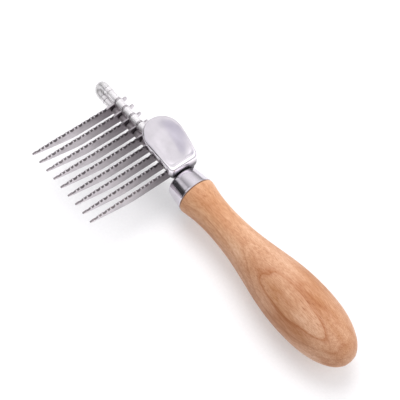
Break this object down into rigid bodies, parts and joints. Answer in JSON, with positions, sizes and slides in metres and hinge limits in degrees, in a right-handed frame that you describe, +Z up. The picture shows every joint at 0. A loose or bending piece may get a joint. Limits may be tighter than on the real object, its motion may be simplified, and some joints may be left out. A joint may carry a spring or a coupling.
{
  "type": "dematting rake",
  "caption": "Pet grooming rake with a row of parallel curved toothed blades on a steel hairpin frame, a chromed thumb rest and a turned wooden handle.",
  "frame": {"origin": "middle of the bounding box in plan, at the lowest point of the handle's belly, on the surface the tool lies on", "axes": "+X along the handle towards the bend of the hairpin frame, +Y along the blades towards their tips, +Z up through the thumb rest"},
  "size_m": [0.1702, 0.058, 0.0305],
  "materials": {
    "beech": "satin clear-lacquered beech with fine lengthwise grain",
    "chrome": "bright nickel-chrome plate with fine wear marks",
    "blade_steel": "ground stainless steel, lengthwise grinding marks, bright sharpened teeth",
    "rod_steel": "drawn and plated steel rod"
  },
  "bodies": {
    "root": {"handle": "beech", "ferrule": "chrome", "bow_frame": "rod_steel", "blade_1": "blade_steel", "blade_2": "blade_steel", "blade_3": "blade_steel", "blade_4": "blade_steel", "blade_5": "blade_steel", "blade_6": "blade_steel", "blade_7": "blade_steel", "blade_8": "blade_steel", "blade_9": "blade_steel", "upper_sleeve_0": "chrome", "upper_sleeve_1": "chrome", "upper_sleeve_2": "chrome", "upper_sleeve_3": "chrome", "upper_sleeve_4": "chrome", "upper_sleeve_5": "chrome", "upper_sleeve_6": "chrome", "upper_sleeve_7": "chrome", "upper_sleeve_8": "chrome", "upper_sleeve_9": "chrome", "lower_sleeve_0": "chrome", "lower_sleeve_1": "chrome", "lower_sleeve_2": "chrome", "lower_sleeve_3": "chrome", "lower_sleeve_4": "chrome", "lower_sleeve_5": "chrome", "lower_sleeve_6": "chrome", "lower_sleeve_7": "chrome", "lower_sleeve_8": "chrome", "lower_sleeve_9": "chrome", "upper_end_collar": "chrome", "lower_end_collar": "chrome", "thumb_rest": "chrome"}
  },
  "joints": []
}
